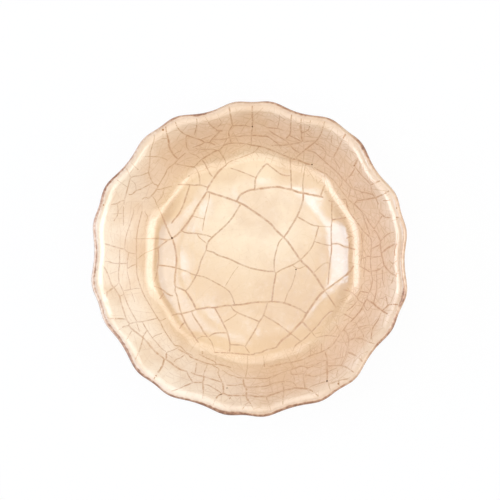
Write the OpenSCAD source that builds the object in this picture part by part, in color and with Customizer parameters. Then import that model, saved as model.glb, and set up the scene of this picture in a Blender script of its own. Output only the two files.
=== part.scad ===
// Lobed sauce dish: a pressed clay dish on a luted foot ring, under a glaze.
// Millimetres, +Z up, origin at the middle of the plane that the foot rests on.

/* [Dish] */
// Diameter of the rim, at the mean of the lobes' crests and notches
rim_d = 95; // [79:0.5:120]
// Height from the table to the top of the lip
dish_h = 21; // [17:0.5:26]
// Diameter of the level middle of the well
well_d = 44; // [34:0.5:53]

/* [Section] */
// Radius of the slow rise of the well towards its edge
sweep_r = 60; // [30:1:80]
// Slope of the well where that rise ends, in degrees
sweep_slope = 7; // [3:0.5:8.5]
// Radius of the hollow corner between well and wall
corner_r = 7.25; // [4:0.25:9]
// Radius over which the wall turns out into the lip
evert_r = 6.5; // [4.5:0.25:8]
// Slope of the lip at its edge, in degrees
lip_slope = 6; // [0:0.5:12]

/* [Lobes] */
// Number of lobes round the rim
lobes = 10; // [6:1:14]
// Direction of the middle of the first lobe, in degrees from +X
lobe_turn = 16.5; // [0:0.5:60]
// Swell of a lobe over the mean rim
lobe_swell = 0.7; // [0:0.05:1.2]
// Depth of the dip that splits each lobe into two crests
bracket_dip = 0.36; // [0:0.02:0.6]
// Rounding of the notch between two lobes
notch_round = 0.1; // [0:0.02:0.2]
// Share of the lobes' swell that is left at the corner of the well
flute_share = 0.55; // [0:0.05:1]

/* [Clay and glaze] */
// Thickness of the clay under the well
clay_floor = 2.8; // [2.2:0.1:4]
// Thickness of the clay at the lip
clay_lip = 1.2; // [0.8:0.1:1.6]
// Thickness of the glaze
glaze_t = 0.5; // [0.3:0.05:0.8]

/* [Foot] */
// Height of the foot ring below the clay floor
foot_h = 4; // [2.5:0.25:6]
// Distance of the foot ring's outer side inside the corner of the well
foot_inset = 2.4; // [1:0.1:4]
// Width of the foot ring where it is luted to the floor
foot_top_w = 4; // [3:0.25:6]
// Width of the foot ring at the table, before its edges are broken
foot_base_w = 2.7; // [2:0.1:3]
// Size of the broken edges at the table
foot_break = 0.4; // [0.1:0.05:0.6]
// Height of the bare clay above the table, where the glaze was wiped off
bare_h = 1.2; // [0.8:0.1:1.8]

/* [Hidden] */
$fn = 120;

// Unevenness of a dish pressed by hand: [waves round the rim, swell in mm, direction of a crest]
hand_warp = [[2, 0.36, -4], [3, 0.19, 43], [4, 0.19, 54], [5, 0.11, -9], [6, 0.17, -4], [11, 0.16, -11]];

// Facets: round one lobe, round the dish, and along each curve of the section
lobe_steps = 10;
steps = lobes * lobe_steps;
curve_steps = 3;
lip_steps = 4;

// A polygon of that many sides goes clear round a circle when its corners stand out by this factor.
clear_round = 1 / cos(180 / steps);

// Places on the section of the face: level floor, start of the corner, and end at the lip
lip_t = clay_lip + 2 * glaze_t;
floor_z = foot_h + clay_floor + glaze_t;
corner_at = [well_d / 2 + sweep_r * sin(sweep_slope), floor_z + sweep_r * (1 - cos(sweep_slope))];
lip_at = [rim_d / 2 - lip_t / 2 * (1 + sin(lip_slope)), dish_h - lip_t / 2 * (1 - cos(lip_slope))];

// The two arcs keep their radii while the wall has room for both. On a shorter wall they shrink alike,
// to this share of the radii at which they would meet.
arc_room = 0.8;
run = lip_at.x - corner_at.x;
rise = lip_at.y - corner_at.y;
arc_fit = min(1, arc_room * (run ^ 2 + rise ^ 2) / (2 * rise) / (corner_r + evert_r));
corner_fit_r = corner_r * arc_fit;
evert_fit_r = evert_r * arc_fit;

// The straight wall is the line that touches both the corner's arc and the lip's arc.
both_r = corner_fit_r + evert_fit_r;
span_x = run + corner_fit_r * sin(sweep_slope) + evert_fit_r * sin(lip_slope);
span_z = rise - corner_fit_r * cos(sweep_slope) - evert_fit_r * cos(lip_slope);
wall_l = sqrt(span_x ^ 2 + span_z ^ 2 - both_r ^ 2);
wall_slope = atan2(span_z, span_x) + atan2(both_r, wall_l);

// Radii of the foot ring at its root and at the table
foot_root_r = corner_at.x - foot_inset;
foot_lean = (foot_top_w - foot_base_w) / 2;
foot_outer_r = function(z) foot_root_r - foot_lean * (1 - z / foot_h);
foot_inner_r = function(z) foot_root_r - foot_top_w + foot_lean * (1 - z / foot_h);

// Section of the face

// Points [radius, height, slope] of an arc that starts at a place and turns from one slope to another.
// A hollow arc has its centre above the face, and the other kind has it below.
function arc(start, r, from, to, hollow, n) =
    let (way = hollow ? 1 : -1)
    [for (i = [0:n])
        let (slope = from + (to - from) * i / n)
        [start.x + way * r * (sin(slope) - sin(from)),
         start.y + way * r * (cos(from) - cos(slope)),
         slope]];

corner_arc = arc(corner_at, corner_fit_r, sweep_slope, wall_slope, true, curve_steps);
wall_foot = corner_arc[curve_steps];
wall_top = [wall_foot.x + wall_l * cos(wall_slope), wall_foot.y + wall_l * sin(wall_slope)];
face = concat(
    [[0, floor_z, 0], [well_d / 2, floor_z, 0]],
    corner_arc,
    arc(wall_top, evert_fit_r, wall_slope, lip_slope, false, curve_steps));
last = len(face) - 1;
corner_i = 2;

// Share of the way from the corner of the well to the lip, from 0 to 1.
function way_up(i) = max(0, (face[i].x - corner_at.x) / (lip_at.x - corner_at.x));

// Thickness of the clay at a point of the section.
function clay_at(i) = clay_floor + (clay_lip - clay_floor) * way_up(i);

// A point of the section at a depth under the face, as [radius, height, lobes' share, brackets' share].
function below(i, depth) =
    let (u = way_up(i), flute = i < corner_i ? 0 : flute_share + (1 - flute_share) * u)
    [face[i].x + depth * sin(face[i].z), face[i].y - depth * cos(face[i].z), flute, u ^ 2];

// The clay's underside is level as far as the corner, so that the foot ring seats on it.
function under(i, coat) =
    i > corner_i ? below(i, glaze_t + clay_at(i) + coat) : [face[i].x, foot_h - coat, 0, 0];

// The round of the lip, at a radius about the middle of its thickness, from the face to the back.
function lip_round(r) =
    let (c = below(last, lip_t / 2))
    [for (i = [0:lip_steps])
        let (turn = lip_slope + 90 - 180 * i / lip_steps)
        [c[0] + r * cos(turn), c[1] + r * sin(turn), c[2], c[3]]];

// Lobed solids

// How far the dish stands out from its mean radius in a direction, for a point's two shares.
function stand_out(a, point) =
    let (t = lobes * (a - lobe_turn))
    point[2] * lobe_swell * cos(t)
    - point[3] * (bracket_dip * cos(2 * t) + notch_round * cos(3 * t))
    + point[2] * [for (w = hand_warp) w[1] * cos(w[0] * (a - w[2]))] * [for (w = hand_warp) 1];

function place(point, a) =
    let (r = point[0] + (point[0] > 0 ? stand_out(a, point) : 0))
    [r * cos(a), r * sin(a), point[1]];

// Two triangles between neighbouring rings and section points. The diagonal runs the same way on
// both sides of a joint between two coats, whichever way round each coat's section is listed.
function quad(a, b, c, d, outward) = outward ? [[a, b, c], [a, c, d]] : [[a, b, d], [b, c, d]];

// A section carried round the lobes. It lists its points anticlockwise, as [radius, height, shares].
// On a section that starts and ends on the axis, the two ends close with fans.
module lobed(section) {
    n = len(section);
    on_axis = section[0][0] == 0;
    ring = on_axis ? [for (i = [1:n - 2]) section[i]] : section;
    m = len(ring);
    points = [for (j = [0:steps - 1]) for (p = ring) place(p, 360 * j / steps)];
    strips = on_axis ? m - 1 : m;
    walls = [for (j = [0:steps - 1]) for (k = [0:strips - 1])
        let (here = j * m, there = (j + 1) % steps * m, up = (k + 1) % m)
        each quad(here + k, there + k, there + up, here + up, ring[k][0] <= ring[up][0])];
    first_pole = steps * m;
    fans = on_axis ? [for (j = [0:steps - 1])
        let (here = j * m, there = (j + 1) % steps * m)
        each [[first_pole, there, here], [first_pole + 1, here + m - 1, there + m - 1]]] : [];
    poles = on_axis ? [place(section[0], 0), place(section[n - 1], 0)] : [];
    polyhedron(concat(points, poles), [for (t = concat(walls, fans)) [t[0], t[2], t[1]]]);
}

// Sub-parts

// The pressed clay: level well, sloping wall and turned-out lip.
module clay_body() {
    color("tan")
    lobed(concat(
        [for (i = [0:last]) under(i, 0)],
        [for (i = [1:lip_steps - 1]) lip_round(clay_lip / 2)[lip_steps - i]],
        [for (i = [last:-1:0]) below(i, glaze_t)]));
}

// The tapered ring under the well, luted to the level underside of the clay.
module foot_ring() {
    color("sienna")
    rotate_extrude()
    polygon([
        [foot_inner_r(foot_h), foot_h],
        [foot_inner_r(foot_break), foot_break],
        [foot_inner_r(0) + foot_break, 0],
        [foot_outer_r(0) - foot_break, 0],
        [foot_outer_r(foot_break), foot_break],
        [foot_outer_r(foot_h), foot_h]]);
}

// The coat on the face, from the middle of the well to the lip.
module face_glaze() {
    color("bisque")
    lobed(concat(
        [for (i = [0:last]) below(i, glaze_t)],
        [for (i = [last:-1:0]) below(i, 0)]));
}

// The coat under the wall and down the foot ring's outer side, as far as the bare edge.
module back_glaze() {
    root_z = foot_h - glaze_t;
    beside_foot = function(z, coat) [foot_outer_r(z) * clear_round + coat, z, 0, 0];
    color("wheat")
    lobed(concat(
        [beside_foot(bare_h, glaze_t), beside_foot(root_z, glaze_t)],
        [for (i = [corner_i:last]) under(i, glaze_t)],
        [for (i = [last:-1:corner_i]) under(i, 0)],
        [beside_foot(foot_h, 0), beside_foot(bare_h, 0)]));
}

// The coat in the hollow of the foot ring.
module base_glaze() {
    color("wheat")
    rotate_extrude()
    polygon([
        [0, foot_h - glaze_t],
        [foot_inner_r(foot_h) - glaze_t, foot_h - glaze_t],
        [foot_inner_r(bare_h) - glaze_t, bare_h],
        [foot_inner_r(bare_h), bare_h],
        [foot_inner_r(foot_h), foot_h],
        [0, foot_h]]);
}

// The brown band over the round of the lip, where the coats of face and back end.
module lip_dressing() {
    color("rosybrown")
    lobed(concat(
        [for (i = [lip_steps:-1:0]) lip_round(lip_t / 2)[i]],
        [for (i = [0:lip_steps]) lip_round(clay_lip / 2)[i]]));
}

clay_body();
foot_ring();
face_glaze();
back_glaze();
base_glaze();
lip_dressing();
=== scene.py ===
"""Lobed sauce dish under a crackled cream glaze, seen from almost straight above."""

import bpy
import numpy as np
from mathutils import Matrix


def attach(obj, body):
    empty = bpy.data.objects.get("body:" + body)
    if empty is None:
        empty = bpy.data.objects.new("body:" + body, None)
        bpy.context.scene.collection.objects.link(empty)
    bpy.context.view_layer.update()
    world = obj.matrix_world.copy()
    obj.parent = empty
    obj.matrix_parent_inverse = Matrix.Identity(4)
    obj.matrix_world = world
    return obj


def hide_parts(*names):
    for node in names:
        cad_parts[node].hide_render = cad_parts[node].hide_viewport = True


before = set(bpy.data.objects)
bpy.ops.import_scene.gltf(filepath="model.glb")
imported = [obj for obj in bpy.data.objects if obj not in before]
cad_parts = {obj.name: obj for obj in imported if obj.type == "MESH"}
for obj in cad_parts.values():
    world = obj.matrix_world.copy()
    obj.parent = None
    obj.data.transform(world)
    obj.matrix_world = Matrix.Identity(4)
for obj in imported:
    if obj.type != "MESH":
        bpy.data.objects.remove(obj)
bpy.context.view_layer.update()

MM = 0.001

# Form of the dish in millimetres and degrees, as in the frame, but for EVERT_R: the lip turns tighter here
RIM_D, DISH_H, WELL_D = 95.0, 21.0, 44.0
SWEEP_R, SWEEP_SLOPE = 60.0, np.radians(7.0)
CORNER_R, EVERT_R, LIP_SLOPE = 7.25, 4.0, np.radians(6.0)
LOBES, LOBE_TURN, LOBE_SWELL = 10, np.radians(16.5), 0.7
BRACKET_DIP, NOTCH_ROUND, FLUTE_SHARE = 0.36, 0.1, 0.55
HAND_WARP = [(2, 0.36, -4), (3, 0.19, 43), (4, 0.19, 54), (5, 0.11, -9), (6, 0.17, -4), (11, 0.16, -11)]
CLAY_FLOOR, CLAY_LIP, GLAZE_T = 2.8, 1.2, 0.5
FOOT_H, FOOT_INSET, FOOT_TOP_W, FOOT_BASE_W = 4.0, 2.4, 4.0, 2.7
FOOT_BREAK, BARE_H = 0.4, 1.2

# Places on the section, and the straight wall, which touches the arcs of the corner and of the lip
LIP_T = CLAY_LIP + 2 * GLAZE_T
FLOOR_Z = FOOT_H + CLAY_FLOOR + GLAZE_T
COAT_Z = FOOT_H - GLAZE_T
CORNER_X = WELL_D / 2 + SWEEP_R * np.sin(SWEEP_SLOPE)
CORNER_Z = FLOOR_Z + SWEEP_R * (1 - np.cos(SWEEP_SLOPE))
LIP_X = RIM_D / 2 - LIP_T / 2 * (1 + np.sin(LIP_SLOPE))
LIP_Z = DISH_H - LIP_T / 2 * (1 - np.cos(LIP_SLOPE))
BOTH_R = CORNER_R + EVERT_R
SPAN_X = LIP_X - CORNER_X + CORNER_R * np.sin(SWEEP_SLOPE) + EVERT_R * np.sin(LIP_SLOPE)
SPAN_Z = LIP_Z - CORNER_Z - CORNER_R * np.cos(SWEEP_SLOPE) - EVERT_R * np.cos(LIP_SLOPE)
WALL_L = np.sqrt(SPAN_X ** 2 + SPAN_Z ** 2 - BOTH_R ** 2)
WALL_SLOPE = np.arctan2(SPAN_Z, SPAN_X) + np.arctan2(BOTH_R, WALL_L)
FOOT_ROOT_R = CORNER_X - FOOT_INSET
FOOT_LEAN = (FOOT_TOP_W - FOOT_BASE_W) / 2

# The photograph: pixels across, where the middle of the rim lies in it, and millimetres to a pixel there
PHOTO_PX = 500
RIM_MID_PX = np.array([248.3, 258.4])
RIM_MM_PER_PX = 0.2999
PX_TO_MM = np.array([RIM_MM_PER_PX, -RIM_MM_PER_PX])

# The camera: how far off the rim it is, its lean off straight above towards +X, its axes and its place
CAMERA_FAR = 750.0
CAMERA_LEAN = np.radians(6.0)
CAMERA_AXES = np.array([[np.cos(CAMERA_LEAN), 0, -np.sin(CAMERA_LEAN)], [0, 1, 0],
                        [np.sin(CAMERA_LEAN), 0, np.cos(CAMERA_LEAN)]])
RIM_OFF_MM = (PHOTO_PX / 2 - RIM_MID_PX) * PX_TO_MM
EYE = np.array([*RIM_OFF_MM, CAMERA_FAR]) @ CAMERA_AXES + (0, 0, DISH_H)

# Cracks of the glaze, read from the photograph as width in mm: [[x, y, x, y, ...] in pixels, ...]
WELL_CRACKS = {
    .42: [[206.5,191, 236,201, 250,208.7, 268,221.5, 275,229, 283,236.8, 288,242.2, 300,259.5, 312.7,272.6,
     324.3,290.3], [236,201, 240.3,194.1, 248.7,190, 254.2,189, 270.3,186.8, 279.5,186.6, 284.5,188, 291,189.1,
     296.4,191.3, 302.8,192.6, 320,196, 322.3,197.3], [324.3,290.3, 318.3,295.6, 306.2,313, 301.4,320.8, 290,333,
     280.2,341, 275.6,347.1]],
    .40: [[206.5,191, 195.6,208, 191.8,215.3, 181,230, 172,238], [172,238, 174.5,247.2, 176,260, 174.2,281, 175,286]],
    .38: [[206.5,191, 207.5,187, 216.8,172.6, 225.7,164.3], [302.8,192.6, 302.2,201, 296.4,216, 285.7,233.7,
     283,236.8], [275.5,273, 273,286.4, 271.3,301], [301.4,320.8, 311,331.2], [185,290.4, 191.9,300.8, 195.5,309]],
    .36: [[254.2,189, 255.5,177.2, 263.3,165.7, 266.8,163.3], [195.5,309, 208.7,307, 214.1,307.1, 224.5,305.2,
     230.5,305, 234.2,304.5, 241,304, 254.5,301.9, 267.3,301.5, 271.5,301.1, 284.1,302.6, 298,308.1, 306.2,313]],
    .34: [[189.5,184.1, 180.9,208.7, 170.7,223], [250,144.4, 266.4,147.8, 290.3,157.8, 295.7,158.8, 305.7,163,
     311.4,164.3], [328,199.9, 331.4,201, 334.1,201], [331.7,219.3, 345.7,217], [240,204, 228.7,221, 211.4,237.2,
     206.8,243.3, 205.5,250], [206,250, 212.6,251.8, 218,254.9, 229.5,258.7, 240.7,264.1, 251.8,268, 266,270.7,
     274,271], [175,286, 185,290.4], [160.2,212, 168.8,232.8, 171.6,237.5], [159.1,298.7, 163.3,292.6], [181,313.5,
     186.4,324.9, 198,342.2], [179.1,328.3, 181.8,324.1, 184.9,321.8]],
    .32: [[320,196, 323,187.2, 324.9,184.1], [214.1,307.1, 222.1,321.9, 226.7,331.7, 229.3,343, 229,352.5]],
    .30: [[177.2,184, 189.5,184.3, 194,184.8, 199.5,184.5, 207.5,187], [217.2,150, 213.3,151.4, 200.7,159.1],
     [200.7,159.1, 203,161, 209.5,173.3, 212.2,176], [266.8,163.3, 278.7,172.6, 284.5,174.9, 289.3,175.1], [296.6,216,
     311,224.1, 318.2,225.7], [205.5,250, 200.3,261, 197.2,271.8, 189.9,284.9, 185,290.5], [275.5,272.5, 282.6,268.3,
     291.8,264.5, 300,259.5], [275.6,347.1, 265.1,349.7, 261,351.9, 255,352.8, 250.1,354.2, 228.8,352.5, 213.6,351.9],
     [263,314.7, 276.9,323, 290,333], [267.3,301.5, 263,314.7, 258.2,322, 256,327.1, 244.6,346], [230.5,305,
     231.9,308, 237.1,312.1, 258.3,321], [191.2,311.6, 193.6,316.7, 200,325.8, 203,331.4, 207.3,336.7], [153.7,285.7,
     159.5,288, 168,294.1, 172.6,295.3]],
    .28: [[324.3,290.3, 335.7,307.2], [199.5,184.5, 198.5,174.5, 195,167.5, 190,166], [289.5,158, 290.9,189],
     [283,236.8, 279.5,240.3, 277.2,245.3, 273.8,259.5, 274.1,270.7, 275.5,273], [318.2,225.8, 313.7,241, 309.7,249,
     300,259.5], [311,331.2, 318.2,324, 321.2,319.5, 328.8,311.9, 333.5,310.4], [311,331.2, 304.7,337.6, 300.6,340.6,
     296.2,343.8, 293.4,347.3, 292.4,350.5], [290,333, 300.3,340.8], [207.8,336.4, 214.5,332.8, 226.8,332.3],
     [181,230.2, 185.8,232.3, 196.6,233.1, 207.5,235.2, 211.4,237.2], [324.3,290.3, 345.7,274.5, 349.5,271.4],
     [343,289.1, 348.7,290.7, 352.6,293, 356.8,297.2]],
    .26: [[229.9,167.6, 240.3,171, 255.5,177.2], [223,144.9, 230.3,142.7, 243.3,143, 250,144.4], [331.4,201,
     331.2,214.9, 331.7,219.4, 330.8,226.4, 330.8,243, 331,250, 329.5,261.4, 327.5,284], [171.4,314.9, 177.6,313.2,
     180.3,313.4, 190.3,311, 195.5,309], [229.5,344.2, 240,344.6, 244.6,346], [158,264.7, 170.8,266.2, 186.2,270.8,
     191.2,273.6, 200.2,275.8, 205.8,277.4, 225.8,288.5, 231.4,295.8, 234.2,304.5], [172,238.5, 168.2,239.3,
     159.5,245.8, 157.3,248.2], [175,286, 174.5,291, 176.4,294.9, 179.1,307.2, 181,313]],
    .24: [[224.5,141.4, 223,144.9, 219.1,149.5, 217.2,150], [314,167, 321,171.4, 325.7,173.3, 328.3,176, 333.3,179.9,
     339.5,188.3, 347.6,198.3, 353,203.3, 358.7,208.7], [331.5,243.5, 338,243.3, 343.3,246, 348,247.2, 353.3,248.3],
     [244.6,346, 249,352.5], [196.6,233.2, 198.8,236.9, 205.8,242.8], [312.7,272.6, 323.3,263.3, 329.5,262.5]],
    .22: [[225.7,164.3, 230.3,160.7, 249.9,153.3, 256,149.5, 258.3,146], [217.2,150, 218.5,150.5, 223.7,158,
     225.7,164.3], [302.8,192.6, 302.3,183, 304.1,169.5, 305.7,163], [295.3,270, 294.5,274.9, 291,285.7, 287.2,292.6,
     284.1,302], [222.4,322.3, 234,315.1, 236.5,312.5], [157.3,248.2, 158.3,257.5, 155.5,276, 153.5,281.5]],
    .20: [[200.7,159.1, 193.7,166, 189,166, 173.3,163], [217.2,150, 211,148.7, 198.7,148.9, 195,147.5], [313.9,241,
     324,244, 330.5,245], [291.8,264.5, 295,267, 298.7,268, 304.5,265.5], [311,331.2, 315.6,336.7, 320,336, 327,335,
     336.5,336], [207.3,336.7, 211,341.6, 214.3,351.5], [209,192, 208.4,199.3, 203.8,218.6, 202,230]],
    .18: [[318.2,225.7, 330,226.5]],
    .16: [[191.9,215.5, 203.7,218.6], [197,338, 202,336, 207.5,336.6]],
    .14: [[271.5,158.5, 275,153.5], [224.9,285.3, 233,272, 237.9,265.9]],
}
UPPER_WALL_CRACKS = {
    .42: [[346.8,131.8, 345,133.5, 341.4,140.3]],
    .36: [[165,126, 168.2,140.6, 168.4,145.4, 172.6,153.7, 177.6,158.7], [228.7,105.6, 232,124.8], [252,103.3,
     252,126.5]],
    .34: [[300.8,118, 300.4,129, 301,132, 301.3,138.5, 302.2,141], [341.4,140.3, 333.3,156.4]],
    .32: [[205,117, 210.5,125, 215.2,128.5, 216.5,130, 219,130.5, 222,130.2], [291.2,114, 290.3,122, 290,132.3,
     288.5,134.8, 285,138.8]],
    .30: [[324.5,120.5, 320.5,133, 315.7,140.3, 306.8,147.6, 296.4,156.4, 296,158.8]],
    .28: [[175,121.5, 176.7,126.5, 180,130.5, 186.8,135, 201,139.8, 203.5,141.7, 209.3,142.3, 214.8,144.5],
     [269,129.5, 271,131.8, 285.5,140.3, 286.4,141]],
    .26: [[196,118, 196.5,121.5, 195.8,128, 193.8,134.5], [219.3,131, 211.3,139, 209.5,141.5], [232.5,125.3,
     244.5,125, 247,126, 250,126.2], [250.7,135.3, 255,135, 263,135.8, 267,136, 275,141.5, 279,144.5], [286.4,141,
     293.7,149.1, 299.1,152.2], [288.8,134.8, 302,141.5], [310,120, 308,129, 301.3,132.5], [307,150, 311.8,151,
     316,153.3, 323,159.9, 334.9,170.3, 346,182.2, 349.5,186.4, 353.3,188.7, 358.7,190.3]],
    .24: [[186.8,135, 185.5,137.5, 186.3,146.8, 188.5,149], [212,139, 220,139, 226.4,138, 229,137], [232,124.8,
     228.3,131.5, 229,136.5, 231,142.8], [274.1,140.7, 278.3,144.1, 280.3,148.3], [271,145, 278,144.5, 283.3,144.7,
     301.8,141.8]],
    .22: [[252,126.5, 250.7,135.5, 251,139, 250.5,144.4], [333.3,156.4, 334.5,160.3, 339.1,168], [314,142.5,
     319.5,145.3, 323.3,148.7, 326.8,154.1]],
    .20: [[201,138.8, 202.5,137.8, 206.5,137, 213,134], [204,142, 200,144.3, 192,147], [221.3,121.8, 219.5,124.5,
     216.5,127], [226.5,138, 224.5,141.4], [229.5,136.8, 233,135.5, 238,136, 242.5,135.3, 250.7,135.3], [255,121.4,
     258,123.3, 263.5,125, 266.5,127, 276.5,128, 284,130.5], [278.8,114.5, 279,119, 276.8,128], [331.8,134.5, 331,138,
     331,143], [325,154.5, 322.5,159]],
    .18: [[188.5,151.5, 191,153.5, 194.5,154.3, 199.5,158], [307.5,130, 311.8,133.5], [303,142, 307,141, 313.5,141],
     [326.8,154.1, 329,155.8, 333,156.5]],
    .16: [[181,150, 175.5,152.5, 173.3,154.5], [168,138, 161,138], [282.6,153.3, 287.2,151], [305.5,132.3,
     310.5,136.5], [320.5,136, 324,138, 330.5,138.8]],
    .14: [[217.2,113.4, 218.4,117.3, 220.9,121.2]],
}
LEFT_WALL_CRACKS = {
    .40: [[113.3,287, 106.3,292, 103.5,293], [106.3,292, 106.3,297]],
    .38: [[128.8,322.8, 128.3,324.8, 131.5,328.5, 142.5,337.3, 154.5,351, 162,356.8]],
    .34: [[103,242.8, 120,247.9, 124,248.4], [151,238, 158.8,238, 163,239, 168,239.3], [159,245.5, 157,247.5,
     154,248.5], [106,317, 110,318, 122,318.3, 126,319], [142.5,338, 139.5,348.5, 135,359]],
    .32: [[128,325.3, 123.5,326, 117.5,330], [146.5,329.8, 142.3,336.3]],
    .30: [[126.2,168, 130.1,176.9, 129.3,179.5, 123.8,200, 124,204], [149.9,150.5, 148.8,166.5, 148.1,171.5, 152,182,
     157.3,185.3, 156,189, 151.5,194.8, 147.8,197.8, 145,196.8, 141.5,198.8], [110.8,204, 117,202.9, 120,200.8,
     123.5,200], [101.8,265, 104.3,267.5, 107.8,274.8, 110.8,284, 113.3,287, 119,295.8, 120.3,301.5, 125.8,318.5,
     128.8,322.8]],
    .28: [[152,182.3, 139.5,189, 136,189.8, 131.5,193.8, 128,194], [141,156, 154,156, 162,157.3, 167,159.8],
     [141.5,210.5, 137.8,226, 136.1,239, 136.1,259, 136.3,271.5, 138,280, 144,295.5, 157,317.5, 159.5,321,
     164.1,330.3, 172.6,343, 176,345.3, 180,346, 185.7,351.8, 192,355], [124,248.6, 128.1,252, 135.5,253.5],
     [119.3,249, 119,262.5, 118,273.5, 118.5,282.5], [104.5,260.8, 108,261, 114,262.9, 126.3,263], [128.8,323.3,
     135.8,321.5, 141.8,321.1, 156.8,317.8]],
    .26: [[130.3,177, 134,175.8, 140,175, 148,172], [156,188.9, 160,188.8, 163.7,187.6, 171.4,185.7], [153,133,
     153.8,138, 150,151.5], [157.6,185.7, 164.9,173.3, 167.2,168.3, 174,163, 178,158.5, 184.9,152.6], [128.1,252,
     126.8,262.5, 127,268], [127.3,268, 131,265.5, 135.5,263.8], [123.3,293.8, 129,308, 136.1,320.5], [141.8,321.3,
     146.5,329.6, 152,337.5], [152,337.6, 154.5,335.3, 161.5,332.8]],
    .24: [[131,162.5, 138,169.5], [116.5,179.3, 126.8,186.5], [133.3,209, 132.8,213, 127,231, 124.9,239.5, 124,249],
     [117,203, 117.3,213.5, 113.3,220.5], [132.8,237.3, 135.8,238.3, 151,238], [113.3,287, 116.5,284.5, 118.5,282.5,
     122.5,290.5, 123.3,293.8], [166,352, 174.9,348.7, 178,346.8]],
    .22: [[152,196, 154.7,199.5, 156,203.5, 160.2,212], [144,252.8, 154,248.5], [119,295.8, 123.2,294], [136.3,259,
     144,252.8], [152,337.5, 160.8,347.6, 165.3,351], [131.5,330, 126,339.5]],
    .20: [[123,206, 122.9,213, 123,225], [144,211, 147,216.3, 145.5,221], [126.5,271, 129.3,282.5, 129.9,288.8],
     [123.5,290, 130,289, 135.5,287.8, 140,288], [136,322, 139,331], [157.5,318, 160.5,320, 165.7,317.6]],
    .18: [[131,180, 134,182.5, 135.3,185.5, 135.5,189], [163.7,188.3, 161.8,195.3, 156.5,202], [111,213.5,
     122.5,212.8], [131,291.5, 134.3,301.5]],
    .16: [[109,273.5, 117,270.5]],
}
RIGHT_WALL_CRACKS = {
    .42: [[381,252.5, 388,247, 394,243.9, 397,243.8]],
    .40: [[357.5,158.3, 354.3,164.5, 354.9,167], [395.4,217, 398.2,216.9], [349.5,247.5, 354.8,249], [383.8,265,
     389,271.3, 396.5,276.2], [366.3,298.4, 369,301, 373,303, 376.4,306.4, 382,310.5, 387,313.5]],
    .38: [[345.5,275, 350,270.3, 353.2,265.2]],
    .36: [[382,310, 387.5,305, 390,304, 399,304]],
    .34: [[370,184.5, 379.4,180.3], [380,240.5, 379.7,243, 381,254, 383.8,265], [395.5,244.5, 394,251.5, 394.6,255.2],
     [395.5,275, 396.3,272.5]],
    .32: [[388.5,190.2, 385.5,192.5, 375,197, 364,199, 360,199.9, 357,200, 353.9,203.2], [379.3,212, 383,215.5,
     386.2,216.9, 391.5,217], [359.5,265.7, 369,271, 371.9,270.4, 375.7,270, 381,267.5, 383.8,265]],
    .30: [[354.9,167, 350.3,174.5, 346.4,178, 345.5,181], [345.5,199, 346.8,205.7, 350.3,213.3, 362.7,230.4],
     [380,240.5, 385.5,235, 390.5,232.3, 393.3,231.8], [349.1,242, 349,247.5], [356.8,297.2, 358,299.7, 363,303],
     [366.3,298.4, 363.3,303.8, 360.2,309.8, 350.5,321]],
    .28: [[358.7,190.3, 361.3,191.8, 364.5,192, 371.8,194], [353.9,203.2, 359,208.8, 361.7,211.8, 364,219.6,
     369.3,234], [373.5,229.5, 376,232.1, 380,240.4], [370.7,248.5, 379.8,244], [360,290.7, 368,292.3]],
    .26: [[354.9,167, 363.2,177, 366,179.3, 370,184.5], [370,184.5, 372,193.7, 374.8,197, 378,204], [361.7,211.8,
     364.7,214.8, 369,222.5, 373.5,228.2], [373.5,228.5, 381.5,215.5], [362.7,230.5, 369.5,237.2, 370.8,241.1,
     370.7,249, 370,260, 371,274, 372,279.2, 370.1,288.5, 368.1,292.4, 366.3,298], [362.7,230.8, 361.5,233, 361.3,237,
     362.3,248, 359.6,265.8], [345.8,237.9, 351,235.7, 353,237.5], [392.8,276.9, 391,283], [359.7,291, 356.7,296.8],
     [343,313, 351.8,318], [380.3,312.4, 377.8,319, 372.2,327.8, 370.4,338.8]],
    .24: [[340.7,198.9, 345.3,198.7], [361,257.8, 364.5,257.3, 367.3,255.7, 373,256.6, 381,255.8], [388.5,260,
     392.6,263.1, 396.3,260], [375.8,270.5, 376.2,280, 376,290, 373,302.8], [363,303, 364.6,307.1, 367,310.6]],
    .22: [[350,188, 348,198], [382.5,200, 387,200, 390,199.2], [365.3,257.4, 363,276.5], [385.3,295, 387.3,305],
     [357,300, 352,306, 346.4,310.3]],
    .20: [[361.3,192, 364,199], [382,268, 382,278, 384,287], [371.8,304.8, 367.5,310]],
    .18: [[354,189.5, 357.3,200], [364.5,187.5, 363.5,191.8], [341.5,176, 341.4,182.6, 339.1,187.2], [373.5,229.5,
     371.4,232], [362.3,248.5, 364.2,251, 365.4,254.3, 367,256], [391.4,264.8, 389.3,268.5], [361,284, 361,287.6,
     360,290.6], [378.2,299, 380,298, 383,297.5, 385.3,295.5]],
    .16: [[376.3,279.5, 379.5,278, 382,278]],
    .14: [[396.3,272.5, 398.5,269]],
}
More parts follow.
